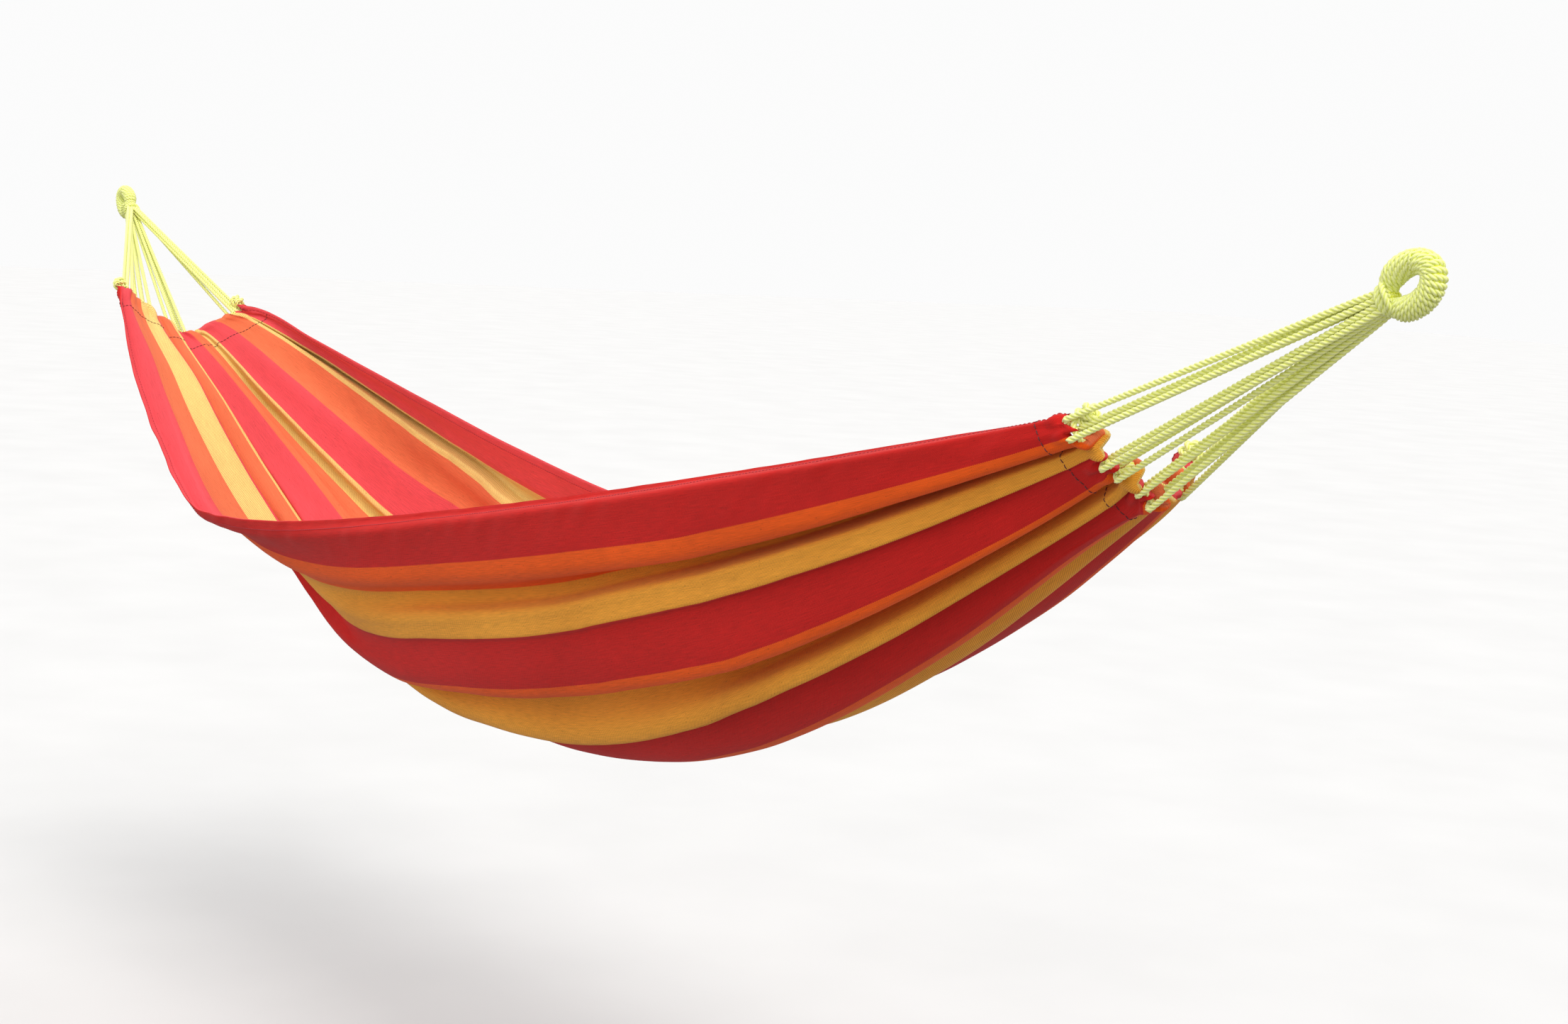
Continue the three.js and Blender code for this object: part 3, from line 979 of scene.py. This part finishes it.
def make_eye(end, core_material, serving_material):
    """Turns of line all round the eye, over the bundle's core."""
    _, across, _ = throat_axes(end)
    path, places = resample(eye_path(end), EYE_STEP)
    share = (places / places[-1])[:, None]
    radius = SERVED_RADIUS * mix(TAIL_RADIUS, 1, smooth(np.minimum(share, 1 - share) / TAIL_SHARE))
    out = np.cross(unit(np.gradient(path, axis=0)), across)
    ring = ellipse(out, across, TURN * SERVING_TURNS * share)
    bundle = Bundle()
    add_rope(bundle, path + ring * radius, ring, SERVING_LINE_RADIUS, lay=LINE_LAY, phase=SERVING_PHASE)
    serving = bundle.make(f"{end}_serving", serving_material)
    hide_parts(f"{end}_eye_serving", f"{end}_eye_core")
    every = slice(None, None, CORE_EVERY)
    inside = path[every]
    references = np.repeat(across[None], len(inside), axis=0)
    core = Bundle()
    core.add(*tube(inside, references, radius[every, 0], CORE_SIDES), CORE_CROWN)
    return serving, core.make(f"{end}_core", core_material)


def make_throat(end, material):
    """Turns of line round the bundle just below the eye, with a riding turn that crosses them."""
    inward, across, up = throat_axes(end)
    eye = ENDS[end]["eye"]
    share = np.linspace(0, 1, SEIZING_POINTS)[:, None]
    ring = ellipse(across * SEIZING_HALF[0], up * SEIZING_HALF[1], TURN * SEIZING_TURNS * share)
    bundle = Bundle()
    path = eye + inward * mix(*SEIZING_SPAN, share) + ring
    add_rope(bundle, path, ring, SERVING_LINE_RADIUS, lay=LINE_LAY)
    angle = np.linspace(0, TURN, RIDER_POINTS)[:, None]
    ring = ellipse(across * RIDER_HALF[0], up * RIDER_HALF[1], angle)
    path = eye + inward * (RIDER_PLACE + RIDER_TILT * np.cos(angle)) + ring
    add_rope(bundle, path, ring, RIDER_LINE_RADIUS, lay=LINE_LAY)
    seizing = bundle.make(f"{end}_seizing", material)
    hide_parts(f"{end}_throat_seizing")
    return seizing


# ---------------------------------------------------------------- stage


def make_stage():
    height = cad_bounds[0].z - FLOOR_DROP
    corners = ((-1, -1), (1, -1), (1, 1), (-1, 1))
    vertices = [(MIDDLE[0] + x * FLOOR_HALF, MIDDLE[1] + y * FLOOR_HALF, height) for x, y in corners]
    new_object("floor", vertices, [(0, 1, 2, 3)], floor_material())


def make_lights():
    """A white sky, a little brighter overhead, with a plain backdrop for the camera, and two soft suns."""
    world = bpy.data.worlds.new("studio")
    bpy.context.scene.world = world
    world.use_nodes = True
    graph = Graph(world.node_tree)
    ambient = graph.nodes["Background"]
    backdrop = graph.new("Background")
    for background in (ambient, backdrop):
        background.inputs["Color"].default_value = (1, 1, 1, 1)
    height = graph.new("SeparateXYZ")
    graph.feed(height.inputs[0], graph.new("TexCoord").outputs["Generated"])
    sky = graph.new("MapRange")
    span = {"From Min": -0.2, "From Max": 0.9, "To Min": SIDE_LIGHT, "To Max": TOP_LIGHT}
    for key, value in {"Value": height.outputs["Z"], **span}.items():
        graph.feed(sky.inputs[key], value)
    graph.feed(ambient.inputs["Strength"], sky.outputs[0])
    graph.feed(backdrop.inputs["Strength"], BACKDROP_LIGHT)
    choose = graph.new("MixShader")
    for slot, value in zip(choose.inputs, (graph.camera_ray(), ambient.outputs[0], backdrop.outputs[0])):
        graph.feed(slot, value)
    graph.feed(graph.nodes["World Output"].inputs[0], choose.outputs[0])
    add_sun("key", KEY_SUN)
    add_sun("fill", FILL_SUN)


def add_sun(name, sun):
    data = bpy.data.lights.new(name, "SUN")
    data.energy = sun["energy"]
    data.angle = math.radians(sun["angle"])
    data.color = SUN_COLOUR
    light = bpy.data.objects.new(name, data)
    light.rotation_mode = "QUATERNION"
    light.rotation_quaternion = Vector(sun["travel"]).to_track_quat("-Z", "Y")
    bpy.context.scene.collection.objects.link(light)


def make_camera():
    data = bpy.data.cameras.new("camera")
    data.sensor_width = SENSOR_WIDTH
    data.lens = FOCAL_LENGTH
    data.clip_start = CLIP_START
    yaw, pitch, roll = (math.radians(a) for a in (CAMERA_YAW, CAMERA_PITCH, CAMERA_ROLL))
    level = Vector((-math.sin(yaw), math.cos(yaw), 0)) * math.cos(pitch)
    forward = level + Vector((0, 0, math.sin(pitch)))
    right = forward.cross(Vector((0, 0, 1))).normalized()
    up = right.cross(forward)
    right_rolled = right * math.cos(roll) + up * math.sin(roll)
    up_rolled = up * math.cos(roll) - right * math.sin(roll)
    basis = Matrix((right_rolled, up_rolled, -forward)).transposed()
    camera = bpy.data.objects.new("camera", data)
    camera.location = Vector(MIDDLE) + Vector(CAMERA_PLACE)
    camera.rotation_mode = "QUATERNION"
    camera.rotation_quaternion = basis.to_quaternion()
    bpy.context.scene.collection.objects.link(camera)
    bpy.context.scene.camera = camera


# ---------------------------------------------------------------- build


def fasten(piece, body):
    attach(piece, body)


cloth = cloth_material()
cord = cord_material("twisted_cord", CORD_COLOURS)
line = cord_material("serving_line", SERVING_COLOURS)
dark_thread = cord_material("dark_thread", DARK_THREAD_COLOURS)
red_thread = cord_material("red_thread", RED_THREAD_COLOURS)

bed = Bed()
for piece in (make_bed(bed, cloth), *make_stitching(bed, dark_thread, red_thread)):
    fasten(piece, "bed")
for end in ENDS:
    make_cords(bed, end, cord)
    fasten(make_header(bed, end, cord), "bed")
    for piece in make_eye(end, cord, line):
        fasten(piece, f"{end}_eye")
    fasten(make_throat(end, line), f"{end}_throat")

make_stage()
make_lights()
make_camera()
bpy.context.scene.view_settings.view_transform = "Standard"
